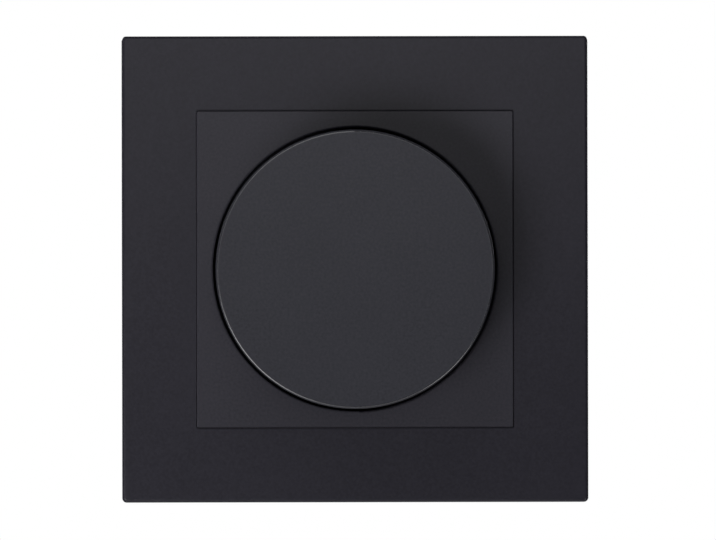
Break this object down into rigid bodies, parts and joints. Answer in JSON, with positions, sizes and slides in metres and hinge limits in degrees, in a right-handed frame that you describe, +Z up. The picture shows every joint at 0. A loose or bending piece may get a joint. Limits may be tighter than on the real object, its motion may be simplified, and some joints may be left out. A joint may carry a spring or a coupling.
{
  "type": "led dimmer",
  "caption": "Flush wall dimmer for LED lamps: square black frame and plate, large round turn-and-push knob sunk in a well, with its wall-box insert behind.",
  "frame": {"origin": "on the wall plane at the knob's axis, midway between the box screws", "axes": "-Y out of the wall toward the user, +Y into the wall box, +Z up, +X to the user's right"},
  "size_m": [0.081, 0.051, 0.081],
  "materials": {
    "frame_black": "satin black moulded plastic with a fine grain",
    "plate_black": "satin black moulded plastic with a fine grain",
    "knob_black": "satin black moulded plastic with a fine grain",
    "housing_grey": "light grey moulded plastic",
    "terminal_grey": "dark grey moulded plastic",
    "zinc_steel": "zinc-coated sheet steel",
    "plated_steel": "bright plated steel",
    "spring_steel": "spring steel",
    "brass": "turned brass",
    "copper": "enamelled copper wire",
    "white_plastic": "natural white plastic",
    "dark_plastic": "dark moulded plastic",
    "board_green": "lacquered fibreglass board",
    "ferrite": "dark ferrite",
    "film_yellow": "yellow boxed capacitor",
    "capacitor_sleeve": "dark plastic sleeve",
    "dome_rubber": "translucent elastomer",
    "varistor_blue": "blue dipped coating"
  },
  "bodies": {
    "dimmer": {"cover_frame": "frame_black", "center_plate": "plate_black", "lock_washer": "plated_steel", "fixing_nut": "brass", "threaded_bush": "brass", "pot_housing": "plated_steel", "resistor_track": "dark_plastic", "pot_base": "dark_plastic", "pot_pins": "plated_steel", "push_switch_housing": "dark_plastic", "switch_contacts": "brass", "return_dome": "dome_rubber", "support_plate": "zinc_steel", "front_housing": "housing_grey", "rear_housing": "housing_grey", "housing_screws": "plated_steel", "circuit_board": "board_green", "terminal_block": "terminal_grey", "terminal_cages": "brass", "terminal_screws": "plated_steel", "trimmer_body": "dark_plastic", "power_transistors": "dark_plastic", "controller_chip": "dark_plastic", "bridge_rectifier": "dark_plastic", "film_capacitor": "film_yellow", "electrolytic_capacitor": "capacitor_sleeve", "choke_core": "ferrite", "choke_winding": "copper", "varistor": "varistor_blue"},
    "plunger": {"switch_plunger": "white_plastic", "contact_bridge": "brass"},
    "knob": {"knob": "knob_black", "hub_ring": "spring_steel", "shaft": "plated_steel", "shaft_circlip": "spring_steel"},
    "rotor": {"wiper_rotor": "white_plastic", "wiper_contacts": "brass"},
    "trimmer": {"trimmer_stem": "white_plastic"}
  },
  "joints": [
    {"name": "push", "type": "slide", "parent": "dimmer", "child": "plunger", "axis": [0, 1, 0], "range_m": [0, 0.001], "stiffness_N_per_m": 1500, "springref_m": -0.001, "deforming": ["return_dome"]},
    {"name": "knob_turn", "type": "hinge", "parent": "plunger", "child": "knob", "pos_m": [0, 0, 0], "axis": [0, 1, 0], "range_deg": [-140, 140]},
    {"name": "rotor_turn", "type": "hinge", "parent": "dimmer", "child": "rotor", "pos_m": [0, 0, 0], "axis": [0, 1, 0], "range_deg": [-140, 140]},
    {"name": "trimmer_turn", "type": "hinge", "parent": "dimmer", "child": "trimmer", "pos_m": [0, 0, 0.0178], "axis": [0, 1, 0], "range_deg": [-105, 105]}
  ],
  "couplings": [
    {"joint": "rotor_turn", "follows": "knob_turn", "ratio": 1}
  ]
}
